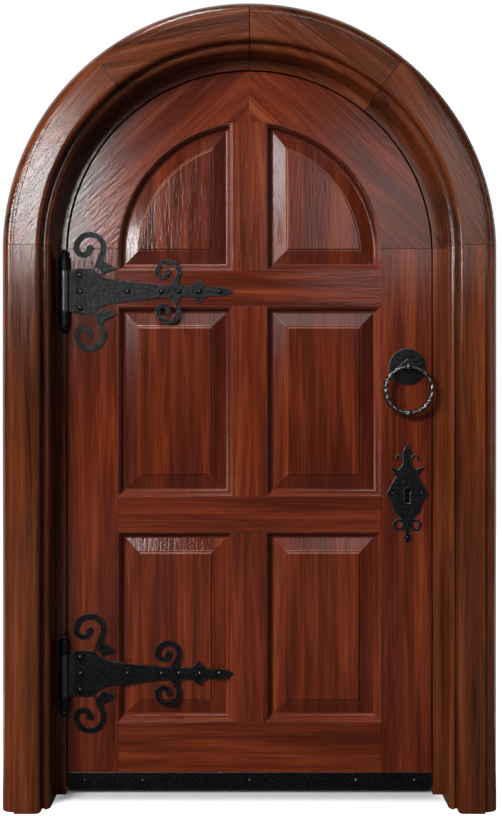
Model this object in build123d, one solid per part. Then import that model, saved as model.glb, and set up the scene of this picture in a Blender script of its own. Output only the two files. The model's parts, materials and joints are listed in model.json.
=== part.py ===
from build123d import *
import os
from math import cos, radians, sin, sqrt

# Leaf, in millimetres
leaf_width = 1030
leaf_height = 2035
leaf_thickness = 56
floor_gap = 12
edge_gap = 4
joint_rise = 12.5
stile_width = 142
cross_rail_width = 100
bottom_rail_width = 193
lower_opening_share = 0.499
arched_opening_drop = 49
muntin_width = 94

# Tenons
tenon_length = 48
tenon_shoulder = 14
tenon_end_gap = 2
stub_tenon_length = 26
loose_tenon_width = 66
loose_tenon_length = 80

# Raised panels, and the mouldings planted round them
groove_depth = 12
groove_width = 14
panel_shrink = 2
panel_play = 0.3
moulding_width = 20
moulding_drop = 1
bevel_width = 36
bevel_drop = 9
ledge_width = 6
field_drop = 5
# Each pair: share of the moulding's width from the outer edge, share of its height from the top
moulding_profile_shares = ((0.2, 0.0), (0.2, 0.16), (0.48, 0.22), (0.72, 0.42), (0.8, 0.68))

# Frame section, from the strip beside the leaf out to the edge
frame_width = 157
frame_projection = 124
strip_width = 26
reveal_depth = 76
reveal_splay = 2
inner_bead_width = 14
inner_bead_rise = 22
quirk_width = 8
quirk_depth = 8
face_round = 13
outer_band_width = 36
outer_band_step = 11
outer_band_fall = 18
stop_overlap = 16
stop_depth = 24
seal_gap = 2
round_share = 0.29
frame_haunch_angle = 51
frame_tenon_width = 60
frame_tenon_inset = 66
frame_tenon_setback = 40

# Frame fixings through the jambs
fixing_radius = 5.1
fixing_heights = (150, 1250)

# Strap hinges
lower_hinge_rise = 139
upper_hinge_drop = 59
hinge_axis_outset = 6
barrel_radius = 13
pin_radius = 5
pin_clearance = 0.05
knuckle_gap = 0.4
leaf_knuckle_length = 116
frame_knuckle_length = 35
finial_height = 25
bracket_thickness = 4
bracket_width = 20
bracket_edge = 2
bracket_play = 0.5
spike_size = 10
spike_length = 50
spike_play = 0.15
strap_length_share = 0.4563
strap_thickness = 5
plate_height = 130
web_run = 12
# Upper half of the strap's outline: share of its length, share of half the plate's height
strap_shares = (
    (0.017, 0.68), (0.025, 0.84), (0.045, 0.96), (0.068, 1.0), (0.138, 1.0), (0.16, 0.93), (0.18, 0.8),
    (0.205, 0.66), (0.232, 0.58), (0.34, 0.455), (0.547, 0.29), (0.702, 0.254), (0.745, 0.235),
    (0.762, 0.3), (0.776, 0.46), (0.787, 0.51), (0.8, 0.47), (0.82, 0.28), (0.851, 0.2), (0.926, 0.2),
    (0.962, 0.14), (1.0, 0.0),
)
strap_eye_shares = (0.184, 0.89)
strap_eye_radii = (12, 5)
strap_eye_turn = -38
root_scroll_radius = 46
root_scroll_inner_radius = 27
root_scroll_band = 15
root_scroll_start = -35
root_scroll_shares = (0.1355, 1.89)
root_foot_shares = ((0.155, 0.92), (0.208, 0.92))
middle_scroll_radius = 37
middle_scroll_inner_radius = 22
middle_scroll_band = 13
middle_scroll_start = -40
middle_scroll_shares = (0.606, 0.855)
middle_foot_shares = ((0.617, 0.2), (0.685, 0.2))
scroll_bulb_share = 0.62
barb_shares = ((0.205, 1.34), (0.258, 1.16), (0.296, 0.97), (0.25, 0.84), (0.2, 0.72))
strap_nail_shares = (
    (0.077, 0.71), (0.08, 0.0), (0.077, -0.71), (0.362, 0.0), (0.567, 0.0), (0.672, 0.0), (0.797, 0.0),
    (0.913, 0.0),
)
finial_shares = ((1.0, 0.0), (1.0, 0.14), (0.6, 0.26), (0.76, 0.5), (0.56, 0.78), (0.0, 1.0))

# Forged nails
nail_head_radius = 8.5
nail_head_height = 6.5
nail_head_sides = 8
nail_shank = 5
nail_length = 30
nail_play = 0.15
nail_head_shares = ((1.0, 0.0), (0.9, 0.45), (0.45, 1.0))

# Kick strip
kick_height = 50
kick_thickness = 4
kick_margin = 2
kick_nail_rise = 29
kick_nail_shares = (-0.906, -0.585, 0.0, 0.585, 0.906)

# Ring pull
ring_height = 1211
lock_side_backset = 69
rose_radius = 52
rose_thickness = 6
rose_rim = 4
rose_dish_share = 0.62
boss_half_width = 27
boss_height = 21.5
boss_drop = 14
boss_rise = 9
boss_foot_share = 0.62
staple_reach = 26
staple_neck_radius = 9
staple_ball_radius = 10.5
staple_shank_radius = 6
staple_shank_play = 0.2
staple_nut_radius = 14
staple_nut_sides = 6
staple_nut_height = 9
ring_mean_radius = 65
ring_round_radius = 4.8
ring_eye_play = 0.9
ring_bar_size = 10.5
ring_collar_radius = 8.2
ring_knop_radius = 10.5
ring_bottom_angle = 270
ring_twist_step = 22.5
ring_twist_sections = 25
ring_collar_angle = 4
ring_knop_angle = 10
ring_round_end_angle = 8

# Keyhole plate
escutcheon_half_width = 61
escutcheon_half_height = 140
escutcheon_thickness = 4
escutcheon_drop = 358.5
# Right half from the top down: share of the half width, share of the half height
escutcheon_shares = (
    (0.0, 1.0), (0.21, 0.84), (0.18, 0.71), (0.2, 0.64), (0.26, 0.55), (0.42, 0.49), (0.85, 0.56),
    (0.66, 0.45), (0.52, 0.35), (1.0, -0.02), (0.77, -0.13), (0.67, -0.25), (0.6, -0.37), (0.42, -0.44),
    (0.3, -0.52), (0.115, -0.72), (0.09, -0.79), (0.17, -0.87), (0.13, -0.95), (0.0, -1.0),
)
volute_shares = (0.36, 0.71)
volute_radius = 11.7
volute_band = 6
volute_start = -20
volute_sweep = 215
loop_shares = (0.385, -0.63)
loop_radius = 17
loop_hole_radius = 9.5
escutcheon_nail_shares = ((-0.67, 0.0), (0.67, 0.0), (0.0, -0.885))
small_nail_share = 0.62
keyhole_rise = 7
keyhole_radius = 9
keyhole_neck = 10
keyhole_foot = 15
keyhole_drop = 33
inner_plate_radius = 24
inner_plate_drop = 22
inner_plate_thickness = 3

# Lock case, bolt and keep
lock_case_height = 116
lock_case_depth = 88
lock_case_thickness = 16
lock_wall = 2
forend_height = 170
forend_width = 24
forend_thickness = 3
bolt_height = 28
bolt_thickness = 11
bolt_length = 58
bolt_play = 0.3
bolt_rise = 38
bolt_throw = 20
lever_count = 3
lever_thickness = 1.2
lever_gap = 0.2
lever_length = 62
lever_tip_reach = 18
lever_rise = 14
lever_pivot_radius = 4
lever_pivot_inset = 10
keep_height = 110
keep_pocket_gap = 3

# Share of a radius that lies along each axis at 45 degrees
diagonal_share = sqrt(0.5)

# Overrun of every cut past the face it starts from
overrun = 2

# Places worked out from the sizes above
leaf_radius = leaf_width / 2
rebate_radius = leaf_radius + edge_gap
frame_radius = rebate_radius + frame_width
opening_radius = leaf_radius - stile_width
spring_height = floor_gap + leaf_height - leaf_radius
joint_height = spring_height + joint_rise
frame_depth = frame_projection + leaf_thickness + seal_gap + stop_depth
leaf_front = frame_projection - frame_depth / 2
leaf_back = leaf_front + leaf_thickness
leaf_middle = leaf_front + leaf_thickness / 2
tongue_half = groove_width / 2 - panel_play
arched_opening_low = spring_height - arched_opening_drop
lower_opening_low = floor_gap + bottom_rail_width
panel_heights = arched_opening_low - lower_opening_low - cross_rail_width * 2
lower_opening = (lower_opening_low, lower_opening_low + panel_heights * lower_opening_share)
middle_opening = (lower_opening[1] + cross_rail_width, arched_opening_low - cross_rail_width)
hinge_heights = (lower_opening_low + lower_hinge_rise, arched_opening_low - upper_hinge_drop)
strap_length = leaf_width * strap_length_share
hinge_axis_y = leaf_front - bracket_thickness - bracket_play - barrel_radius
hinge_axis = (-(leaf_radius + hinge_axis_outset), hinge_axis_y)
lock_line = leaf_radius - lock_side_backset
escutcheon_height = ring_height - escutcheon_drop
keyhole_height = escutcheon_height + keyhole_rise
bolt_line = keyhole_height + bolt_rise
leaf_depth_span = (leaf_front, leaf_back)
groove_span = (leaf_middle - groove_width / 2, leaf_middle + groove_width / 2)


# Helpers
def block(x_span, y_span, z_span):
    """A box between pairs of limits, given in either order."""
    spans = [sorted(span) for span in (x_span, y_span, z_span)]
    middle = [(low + high) / 2 for low, high in spans]
    return Pos(*middle) * Box(*[high - low for low, high in spans])


def facing(y):
    """The upright plane at depth y, looked at from the front: local X is X and local Y is height."""
    return Plane((0, y, 0), x_dir=(1, 0, 0), z_dir=(0, -1, 0))


def slab(sketch, y_back, y_front):
    """A front-view sketch given a thickness between two depths."""
    return extrude(facing(y_back) * sketch, y_back - y_front)


def frustum(back_sketch, y_back, front_sketch, y_front):
    """A solid that runs straight from one front-view outline to another nearer the front."""
    return loft([facing(y_back) * back_sketch, facing(y_front) * front_sketch], ruled=True)


def outlined(points):
    """A straight-sided face through front-view points."""
    return make_face(Polyline(*points, close=True))


def upright_cylinder(radius, x, y, z_low, z_high):
    """A round bar standing between two heights."""
    return Pos(x, y, (z_low + z_high) / 2) * Cylinder(radius, z_high - z_low)


def depth_cylinder(radius, x, z, y_front, y_back):
    """A round bar running from front to back."""
    return slab(Pos(x, z) * Circle(radius), y_back, y_front)


def cut_where_near(piece, cutters):
    """The piece less those cutters whose boxes reach it."""
    box = piece.bounding_box()
    near = []
    for cutter in cutters:
        other = cutter.bounding_box()
        apart = (
            other.max.X < box.min.X or other.min.X > box.max.X
            or other.max.Y < box.min.Y or other.min.Y > box.max.Y
            or other.max.Z < box.min.Z or other.min.Z > box.max.Z
        )
        if not apart:
            near.append(cutter)
    return piece - near if near else piece


def save(name, *pieces):
    """Write one node, as a group where it has several solids."""
    shape = pieces[0] if len(pieces) == 1 else Compound(list(pieces))
    export_step(shape, f"parts/{name}.step")


def mirrored_to_back(piece):
    """The same piece on the other face of the leaf."""
    return mirror(piece, about=Plane((0, leaf_middle, 0), z_dir=(0, 1, 0)))


# Panel openings: each gives its face at an inset, a taper between two insets, and its mitred strips
def straight_opening(side, z_span):
    """An upright rectangular opening beside the muntin."""
    def face(inset):
        width = opening_radius - muntin_width / 2 - inset * 2
        height = z_span[1] - z_span[0] - inset * 2
        centre_x = side * (opening_radius + muntin_width / 2) / 2
        return Pos(centre_x, (z_span[0] + z_span[1]) / 2) * Rectangle(width, height)

    def taper(back_inset, y_back, front_inset, y_front):
        return frustum(face(back_inset), y_back, face(front_inset), y_front)

    return face, taper, straight_strips(side, z_span)


def straight_strips(side, z_span):
    """Mitred strips of a straight opening's moulding, as front-view outlines."""
    x_near = side * muntin_width / 2
    x_far = side * opening_radius
    step = side * moulding_width
    low, high = z_span
    outer = [(x_near, low), (x_far, low), (x_far, high), (x_near, high)]
    inner = [
        (x_near + step, low + moulding_width), (x_far - step, low + moulding_width),
        (x_far - step, high - moulding_width), (x_near + step, high - moulding_width),
    ]
    return [outlined([outer[i - 1], outer[i], inner[i], inner[i - 1]]) for i in range(len(outer))]


def arched_opening(side):
    """An opening under the arch: its foot is square and its outer side runs into the curve."""
    def under_arch(inset):
        radius = side * (opening_radius - inset)
        foot = arched_opening_low - stile_width
        crown = (0, spring_height + abs(radius))
        middle = (radius * diagonal_share, spring_height + abs(radius) * diagonal_share)
        arc = ThreePointArc((radius, spring_height), middle, crown)
        return make_face([Polyline(crown, (0, foot), (radius, foot), (radius, spring_height)), arc])

    def inside_corner(inset):
        near, far = muntin_width / 2 + inset, leaf_radius
        low, high = arched_opening_low + inset, spring_height + leaf_radius
        return Pos(side * (near + far) / 2, (low + high) / 2) * Rectangle(far - near, high - low)

    def face(inset):
        return under_arch(inset) & inside_corner(inset)

    def taper(back_inset, y_back, front_inset, y_front):
        bend = frustum(under_arch(back_inset), y_back, under_arch(front_inset), y_front)
        return bend & frustum(inside_corner(back_inset), y_back, inside_corner(front_inset), y_front)

    return face, taper, arched_strips(side)


def arched_strips(side):
    """The straight strips of an arched opening's moulding; the bent strip is what is left."""
    def corners(inset):
        near, far = muntin_width / 2 + inset, opening_radius - inset
        low = arched_opening_low + inset
        high = spring_height + sqrt(far ** 2 - near ** 2)
        return (side * near, low), (side * far, low), (side * near, high)

    outer, inner = corners(0), corners(moulding_width)
    bottom = outlined([outer[0], outer[1], inner[1], inner[0]])
    upright = outlined([outer[0], inner[0], inner[2], outer[2]])
    return [bottom, upright]


openings = {}
for side_name, side in (("left", -1), ("right", 1)):
    openings[f"lower_{side_name}"] = straight_opening(side, lower_opening)
    openings[f"middle_{side_name}"] = straight_opening(side, middle_opening)
    openings[f"arched_{side_name}"] = arched_opening(side)
grooves = [slab(parts[0](-groove_depth), groove_span[1], groove_span[0]) for parts in openings.values()]


# Forged nails
def nail(x, z, seat, scale_share=1):
    """A nail with a faceted head on the depth plane seat, and a square shank."""
    head_radius = nail_head_radius * scale_share
    sections = []
    for radius_share, rise_share in nail_head_shares:
        y = seat - nail_head_height * scale_share * rise_share
        sections.append(facing(y) * Pos(x, z) * RegularPolygon(head_radius * radius_share, nail_head_sides))
    head = loft(sections, ruled=True)
    half = nail_shank * scale_share / 2
    tip = seat + nail_length * scale_share
    return head + block((x - half, x + half), (seat, tip), (z - half, z + half))


def nail_hole(x, z, seat, scale_share=1):
    """Room for a nail's shank."""
    half = nail_shank * scale_share / 2 + nail_play
    tip = seat + nail_length * scale_share + nail_play
    return block((x - half, x + half), (seat - overrun, tip), (z - half, z + half))


strap_seat = leaf_front - strap_thickness
kick_seat = leaf_front - kick_thickness
escutcheon_seat = leaf_front - escutcheon_thickness
half_plate = plate_height / 2
strap_nails = {
    hinge: [(strap_length * a - leaf_radius, hinge + half_plate * b) for a, b in strap_nail_shares]
    for hinge in hinge_heights
}
kick_nails = [(leaf_radius * share, floor_gap + kick_nail_rise) for share in kick_nail_shares]
escutcheon_nails = [
    (lock_line + escutcheon_half_width * a, escutcheon_height + escutcheon_half_height * b)
    for a, b in escutcheon_nail_shares
]
strap_holes = {}
for hinge, places in strap_nails.items():
    strap_holes[hinge] = [nail_hole(x, z, strap_seat) for x, z in places]
kick_holes = [nail_hole(x, z, kick_seat) for x, z in kick_nails]
escutcheon_holes = [nail_hole(x, z, escutcheon_seat, small_nail_share) for x, z in escutcheon_nails]


# Keyhole and lock places
def keyhole_outline():
    """Round top with a slot that widens downwards."""
    slot = outlined([
        (-keyhole_neck / 2, 0), (keyhole_neck / 2, 0),
        (keyhole_foot / 2, -keyhole_drop), (-keyhole_foot / 2, -keyhole_drop),
    ])
    return Pos(lock_line, keyhole_height) * (Circle(keyhole_radius) + slot)


lock_case_low = keyhole_height - keyhole_drop - lock_wall * 2
lock_case_span = (lock_case_low, lock_case_low + lock_case_height)
lock_case_x = (leaf_radius - forend_thickness - lock_case_depth, leaf_radius - forend_thickness)
lock_case_y = (leaf_middle - lock_case_thickness / 2, leaf_middle + lock_case_thickness / 2)
bolt_y = (leaf_middle - bolt_thickness / 2, leaf_middle + bolt_thickness / 2)
bolt_z = (bolt_line - bolt_height / 2, bolt_line + bolt_height / 2)
forend_y = (leaf_middle - forend_width / 2, leaf_middle + forend_width / 2)
forend_z = (bolt_line - forend_height / 2, bolt_line + forend_height / 2)
bolt_way = block(
    (lock_case_x[0] + lock_wall, leaf_radius + overrun),
    (bolt_y[0] - bolt_play, bolt_y[1] + bolt_play),
    (bolt_z[0] - bolt_play, bolt_z[1] + bolt_play),
)
leaf_cutters = sum(strap_holes.values(), []) + kick_holes + escutcheon_holes
leaf_cutters += [
    depth_cylinder(staple_shank_radius + staple_shank_play, lock_line, ring_height, leaf_front, leaf_back),
    slab(keyhole_outline(), leaf_back, leaf_front),
    block(lock_case_x, lock_case_y, lock_case_span),
    block((leaf_radius - forend_thickness, leaf_radius), forend_y, forend_z),
]


# Leaf joinery
rail_spans = {
    "bottom_rail": (floor_gap, lower_opening[0]),
    "lock_rail": (lower_opening[1], middle_opening[0]),
    "frieze_rail": (middle_opening[1], arched_opening_low),
}
muntin_top = spring_height + opening_radius
muntin_spans = {
    "lower_muntin": lower_opening,
    "middle_muntin": middle_opening,
    "upper_muntin": (arched_opening_low, muntin_top),
}
muntin_half = muntin_width / 2
stub_half = muntin_half - tenon_shoulder


def tenon_span(span):
    """Height of a rail's tenon inside its shoulders."""
    return span[0] + tenon_shoulder, span[1] - tenon_shoulder


def loose_tenon(turn, radius, y, width, extra_length):
    """A loose tongue across a joint that lies at an angle round the arch's centre."""
    length = loose_tenon_length + extra_length * 2
    return Pos(0, 0, spring_height) * Rot(0, -turn, 0) * Pos(radius, y, 0) * Box(width, groove_width, length)


def upright_tenon(x, y, width, extra_length):
    """A loose tongue across the level joint at a post's head."""
    return Pos(x, y, joint_height) * Box(width, groove_width, loose_tenon_length + extra_length * 2)


leaf_tenon_radius = leaf_radius - stile_width / 2


def leaf_tenons(extra_length):
    """The loose tongues at the heads of the stiles and at the crown of the leaf."""
    tenons = [loose_tenon(90, leaf_tenon_radius, leaf_middle, loose_tenon_width, extra_length)]
    for side in (-1, 1):
        tenons.append(upright_tenon(side * leaf_tenon_radius, leaf_middle, loose_tenon_width, extra_length))
    return tenons


def stile(side):
    """An upright of the leaf, grooved for its panels and mortised for the rails."""
    inner = side * opening_radius
    post = block((side * leaf_radius, inner), leaf_depth_span, (floor_gap, joint_height))
    mortise_x = (inner, inner + side * (tenon_length + tenon_end_gap))
    mortises = [block(mortise_x, groove_span, tenon_span(span)) for span in rail_spans.values()]
    return cut_where_near(post, grooves + mortises + leaf_tenons(tenon_end_gap) + leaf_cutters)


def rail(span):
    """A cross rail with a tenon at each end."""
    half = opening_radius + tenon_length
    board = block((-opening_radius, opening_radius), leaf_depth_span, span)
    board += block((-half, half), groove_span, tenon_span(span))
    stubs = []
    for low, high in muntin_spans.values():
        reach = stub_tenon_length + tenon_end_gap
        stubs.append(block((-stub_half, stub_half), groove_span, (low - reach, high)))
        stubs.append(block((-stub_half, stub_half), groove_span, (low, high + reach)))
    return cut_where_near(board, grooves + stubs + leaf_cutters)


def muntin(span):
    """A short upright between two rails, its head cut to the arch where it meets it."""
    stub_z = (span[0] - stub_tenon_length, span[1] + stub_tenon_length)
    stubs = block((-stub_half, stub_half), groove_span, stub_z)
    post = block((-muntin_half, muntin_half), leaf_depth_span, span)
    post &= slab(Pos(0, spring_height) * Circle(opening_radius), leaf_back, leaf_front) + block(
        (-muntin_half, muntin_half), leaf_depth_span, (0, spring_height))
    return cut_where_near(post + stubs, grooves + leaf_cutters)


def arch_rail(side):
    """Half of the leaf's curved head."""
    ring = Pos(0, spring_height) * (Circle(leaf_radius) - Circle(opening_radius))
    quarter = slab(ring, leaf_back, leaf_front) & block(
        (0, side * leaf_radius), leaf_depth_span, (joint_height, spring_height + leaf_radius))
    stub_z = (spring_height, muntin_top + stub_tenon_length + tenon_end_gap)
    stub = block((-stub_half, stub_half), groove_span, stub_z)
    return cut_where_near(quarter, grooves + [stub] + leaf_tenons(tenon_end_gap))


def raised_panel(face, taper):
    """A panel with a tongue round it and a bevelled, raised field on each face."""
    tongue = slab(face(panel_shrink - groove_depth), leaf_middle + tongue_half, leaf_middle - tongue_half)
    bevel_top = leaf_front + bevel_drop
    bevel_inset = moulding_width + bevel_width
    front = taper(moulding_width, leaf_middle - tongue_half, bevel_inset, bevel_top)
    front += slab(face(bevel_inset + ledge_width), bevel_top, leaf_front + field_drop)
    return cut_where_near(tongue + front + mirrored_to_back(front), leaf_cutters)


def moulding(face, taper, strips):
    """Mitred moulding strips on both faces of one opening."""
    foot = leaf_middle - tongue_half - panel_play
    top = leaf_front + moulding_drop
    height = foot - top
    ring = slab(face(0) - face(moulding_width), foot, top)
    for (inset_a, drop_a), (inset_b, drop_b) in zip(moulding_profile_shares, moulding_profile_shares[1:]):
        y_a, y_b = top + height * drop_a, top + height * drop_b
        ring -= taper(moulding_width * inset_b, y_b, moulding_width * inset_a, y_a)
    mitred = [slab(strip, foot, top) for strip in strips]
    rest = ring - mitred
    lengths = [ring & solid for solid in mitred] + (rest.solids() if rest else [])
    lengths += [mirrored_to_back(length) for length in lengths]
    return [cut_where_near(length, leaf_cutters) for length in lengths]


# Frame
def frame_section():
    """Section of the frame at its right side: X is the distance from the middle, Y is depth."""
    wall = rebate_radius + strip_width
    bead = wall + reveal_splay
    quirk = bead + inner_bead_width
    face = quirk + quirk_width
    band = frame_radius - outer_band_width
    bead_top = reveal_depth + inner_bead_rise
    groove_floor = bead_top - quirk_depth
    band_top = frame_projection - outer_band_step
    back = frame_projection - frame_depth
    stop_front = -leaf_thickness - seal_gap
    stop = rebate_radius - stop_overlap
    places = {
        "strip": (rebate_radius, 0), "wall": (wall, 0),
        "bead": (bead, reveal_depth), "bead_top": (quirk, bead_top),
        "quirk": (quirk, groove_floor), "quirk_end": (face, groove_floor),
        "face_foot": (face, frame_projection - face_round), "face": (face + face_round, frame_projection),
        "face_end": (band, frame_projection), "band": (band, band_top),
        "edge": (frame_radius, band_top - outer_band_fall),
        "back": (frame_radius, back), "stop_back": (stop, back),
        "stop": (stop, stop_front), "rebate": (rebate_radius, stop_front),
    }
    point = {name: Vector(r, leaf_front - f) for name, (r, f) in places.items()}

    def rounded(start, end):
        """A convex quarter turn from a wall towards the front face."""
        a, b = point[start], point[end]
        middle = (a.X + (b.X - a.X) * round_share, b.Y + (a.Y - b.Y) * round_share)
        return ThreePointArc(a, middle, b)

    def rounded_over(start, end):
        """A convex quarter turn from the front down to the outer edge."""
        a, b = point[start], point[end]
        middle = (b.X + (a.X - b.X) * round_share, a.Y + (b.Y - a.Y) * round_share)
        return ThreePointArc(a, middle, b)

    edges = [
        Polyline(point["strip"], point["wall"], point["bead"]),
        rounded("bead", "bead_top"),
        Polyline(point["bead_top"], point["quirk"], point["quirk_end"], point["face_foot"]),
        rounded("face_foot", "face"),
        Polyline(point["face"], point["face_end"], point["band"]),
        rounded_over("band", "edge"),
        Polyline(point["edge"], point["back"], point["stop_back"]),
        Polyline(point["stop_back"], point["stop"], point["rebate"], point["strip"]),
    ]
    return make_face(edges)


frame_tenon_radius = frame_radius - frame_tenon_inset
frame_tenon_depth = leaf_front - frame_tenon_setback


def frame_tenons(extra_length):
    """The loose tongues across the frame's five joints."""
    sizes = (frame_tenon_depth, frame_tenon_width, extra_length)
    tenons = [upright_tenon(side * frame_tenon_radius, *sizes) for side in (-1, 1)]
    for turn in (frame_haunch_angle, 90, 180 - frame_haunch_angle):
        tenons.append(loose_tenon(turn, frame_tenon_radius, *sizes))
    return tenons


def fixing_hole(side, height):
    """A hole across a jamb for a frame screw, hidden in the rebate behind the leaf's edge."""
    bore = Pos(0, leaf_middle, height) * Rot(0, 90, 0) * Cylinder(fixing_radius, frame_width + overrun * 2)
    return Pos(side * (rebate_radius + frame_width / 2), 0, 0) * bore


def spike_places(hinge):
    """Heights of a hinge bracket's two spikes."""
    rise = leaf_knuckle_length / 2 + knuckle_gap + frame_knuckle_length / 2
    return hinge - rise, hinge + rise


bracket_x = (-(rebate_radius + bracket_edge + bracket_width), -(rebate_radius + bracket_edge))
spike_x = (bracket_x[0] + bracket_x[1]) / 2


def spike(height, play):
    """A square spike behind a hinge bracket, driven into the jamb."""
    half = spike_size / 2 + play
    depth_span = (leaf_front, leaf_front + spike_length + play)
    return block((spike_x - half, spike_x + half), depth_span, (height - half, height + half))


def jamb(side):
    """A straight side of the frame, from the floor to the joint above the springing."""
    post = extrude(frame_section(), joint_height)
    if side < 0:
        post = mirror(post, about=Plane.YZ)
    cutters = frame_tenons(tenon_end_gap) + [fixing_hole(side, height) for height in fixing_heights]
    if side < 0:
        cutters += [spike(height, spike_play) for hinge in hinge_heights for height in spike_places(hinge)]
    else:
        keep_z = (bolt_line - keep_height / 2, bolt_line + keep_height / 2)
        cutters.append(block((rebate_radius, rebate_radius + forend_thickness), forend_y, keep_z))
        cutters.append(keep_hole(leaf_radius + bolt_throw + keep_pocket_gap))
    return cut_where_near(post, cutters)


def keep_hole(reach):
    """Room for the thrown bolt in the keep and in the jamb behind it."""
    return block(
        (rebate_radius - overrun, reach),
        (bolt_y[0] - keep_pocket_gap, bolt_y[1] + keep_pocket_gap),
        (bolt_z[0] - keep_pocket_gap, bolt_z[1] + keep_pocket_gap),
    )


def arch_segment(start, end):
    """A curved length of the frame between two angles from the right springing."""
    centre = Axis((0, 0, spring_height), (0, -1, 0))
    section = Pos(0, 0, spring_height) * frame_section()
    bend = revolve(section.rotate(centre, start), centre, end - start)
    above_joint = (joint_height, spring_height + frame_radius)
    above = block((-frame_radius, frame_radius), (-frame_depth, frame_depth), above_joint)
    return cut_where_near(bend & above, frame_tenons(tenon_end_gap))


# Strap hinges
def scroll(radius, inner_radius, band, start, foot, centre):
    """A flat bar curled over and in, with a foot that joins it to the strap and a bulb at its end."""
    turn = 180 - start
    inner_centre = (inner_radius - radius, 0)
    outer_turn = CenterArc((0, 0), radius, start, turn)
    outer_curl = CenterArc(inner_centre, inner_radius, 180, 180)
    inner_turn = CenterArc((0, 0), radius - band, start, turn)
    inner_curl = CenterArc(inner_centre, inner_radius - band, 180, 180)
    root = Line(outer_turn @ 0, inner_turn @ 0)
    end = Line(outer_curl @ 1, inner_curl @ 1)
    bar = make_face([outer_turn, outer_curl, end, inner_curl, inner_turn, root])
    bulb_place = end @ 0.5
    bulb = Pos(bulb_place.X, bulb_place.Y) * Circle(band * scroll_bulb_share)
    placed = Pos(*centre) * (bar + bulb)
    outer_root, inner_root = outer_turn @ 0, inner_turn @ 0
    stem = outlined([
        (centre[0] + inner_root.X, centre[1] + inner_root.Y), foot[0], foot[1],
        (centre[0] + outer_root.X, centre[1] + outer_root.Y),
    ])
    return placed + stem


def strap_place(shares):
    """A point of the strap from its shares, measured from the leaf's edge and the hinge's middle."""
    return strap_length * shares[0], half_plate * shares[1]


def strap_outline():
    """The whole front-view outline of a strap with its scrolls and barbs."""
    upper = [strap_place(shares) for shares in strap_shares]
    lower = [(x, -z) for x, z in reversed(upper[:-1])]
    body = outlined(upper + lower)
    root_foot = [strap_place(shares) for shares in root_foot_shares]
    middle_foot = [strap_place(shares) for shares in middle_foot_shares]
    half = scroll(
        root_scroll_radius, root_scroll_inner_radius, root_scroll_band, root_scroll_start,
        root_foot, strap_place(root_scroll_shares))
    half += scroll(
        middle_scroll_radius, middle_scroll_inner_radius, middle_scroll_band, middle_scroll_start,
        middle_foot, strap_place(middle_scroll_shares))
    base, top, tip, under, heel = [strap_place(shares) for shares in barb_shares]
    half += make_face([ThreePointArc(base, top, tip), ThreePointArc(tip, under, heel), Line(heel, base)])
    eye = Pos(*strap_place(strap_eye_shares)) * Rot(0, 0, strap_eye_turn) * Ellipse(*strap_eye_radii)
    return body + half + mirror(half, about=Plane.XZ) - eye - mirror(eye, about=Plane.XZ)


def hinge_strap(hinge):
    """A strap on the leaf, with the knuckle that turns on the pin."""
    low, high = hinge - leaf_knuckle_length / 2, hinge + leaf_knuckle_length / 2
    axis_x, axis_y = hinge_axis
    iron = slab(Pos(-leaf_radius, hinge) * strap_outline(), leaf_front, strap_seat)
    plate_start = -leaf_radius + strap_length * strap_shares[0][0]
    web = make_face(Polyline(
        (axis_x, axis_y), (axis_x + barrel_radius, axis_y), (plate_start + web_run, strap_seat),
        (plate_start + web_run, leaf_front), (plate_start, leaf_front), close=True))
    iron += Pos(0, 0, low) * extrude(web, leaf_knuckle_length)
    iron += upright_cylinder(barrel_radius, axis_x, axis_y, low, high)
    bore = upright_cylinder(pin_radius + pin_clearance, axis_x, axis_y, low - overrun, high + overrun)
    return iron - bore - strap_holes[hinge]


def finial(base, direction):
    """A turned tip on a hinge's end, rising or hanging from its base height."""
    outline = [(0, 0)] + [(barrel_radius * r, direction * finial_height * z) for r, z in finial_shares]
    turned = revolve(Plane.XZ * make_face(Polyline(*outline, close=True)), Axis.Z)
    return Pos(hinge_axis[0], hinge_axis[1], base) * turned


knuckle_foot = leaf_knuckle_length / 2 + knuckle_gap
knuckle_head = knuckle_foot + frame_knuckle_length


def hinge_bracket(hinge):
    """The frame's half of a hinge: a plate with two knuckles, spiked to the jamb."""
    axis_x, axis_y = hinge_axis
    bottom, top = hinge - knuckle_head, hinge + knuckle_head
    iron = block(bracket_x, (leaf_front - bracket_thickness, leaf_front), (bottom, top))
    for low, high in ((bottom, hinge - knuckle_foot), (hinge + knuckle_foot, top)):
        iron += upright_cylinder(barrel_radius, axis_x, axis_y, low, high)
        iron += block((axis_x - barrel_radius, bracket_x[1]), (axis_y, leaf_front), (low, high))
    for height in spike_places(hinge):
        iron += spike(height, 0)
    iron += finial(bottom, -1)
    return iron - upright_cylinder(pin_radius + pin_clearance, axis_x, axis_y, bottom, top + overrun)


def hinge_pin(hinge):
    """The pin, dropped in from above, with a turned head."""
    foot, head = hinge - knuckle_head + knuckle_gap, hinge + knuckle_head
    return upright_cylinder(pin_radius, *hinge_axis, foot, head) + finial(head, 1)


# Kick strip
def kick_strip():
    """Iron strip along the foot of the leaf."""
    half = leaf_radius - kick_margin
    low = floor_gap + kick_margin
    return block((-half, half), (kick_seat, leaf_front), (low, low + kick_height)) - kick_holes


# Ring pull
ring_axis_y = leaf_front - rose_thickness - staple_reach
ring_centre_z = ring_height - ring_mean_radius


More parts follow.
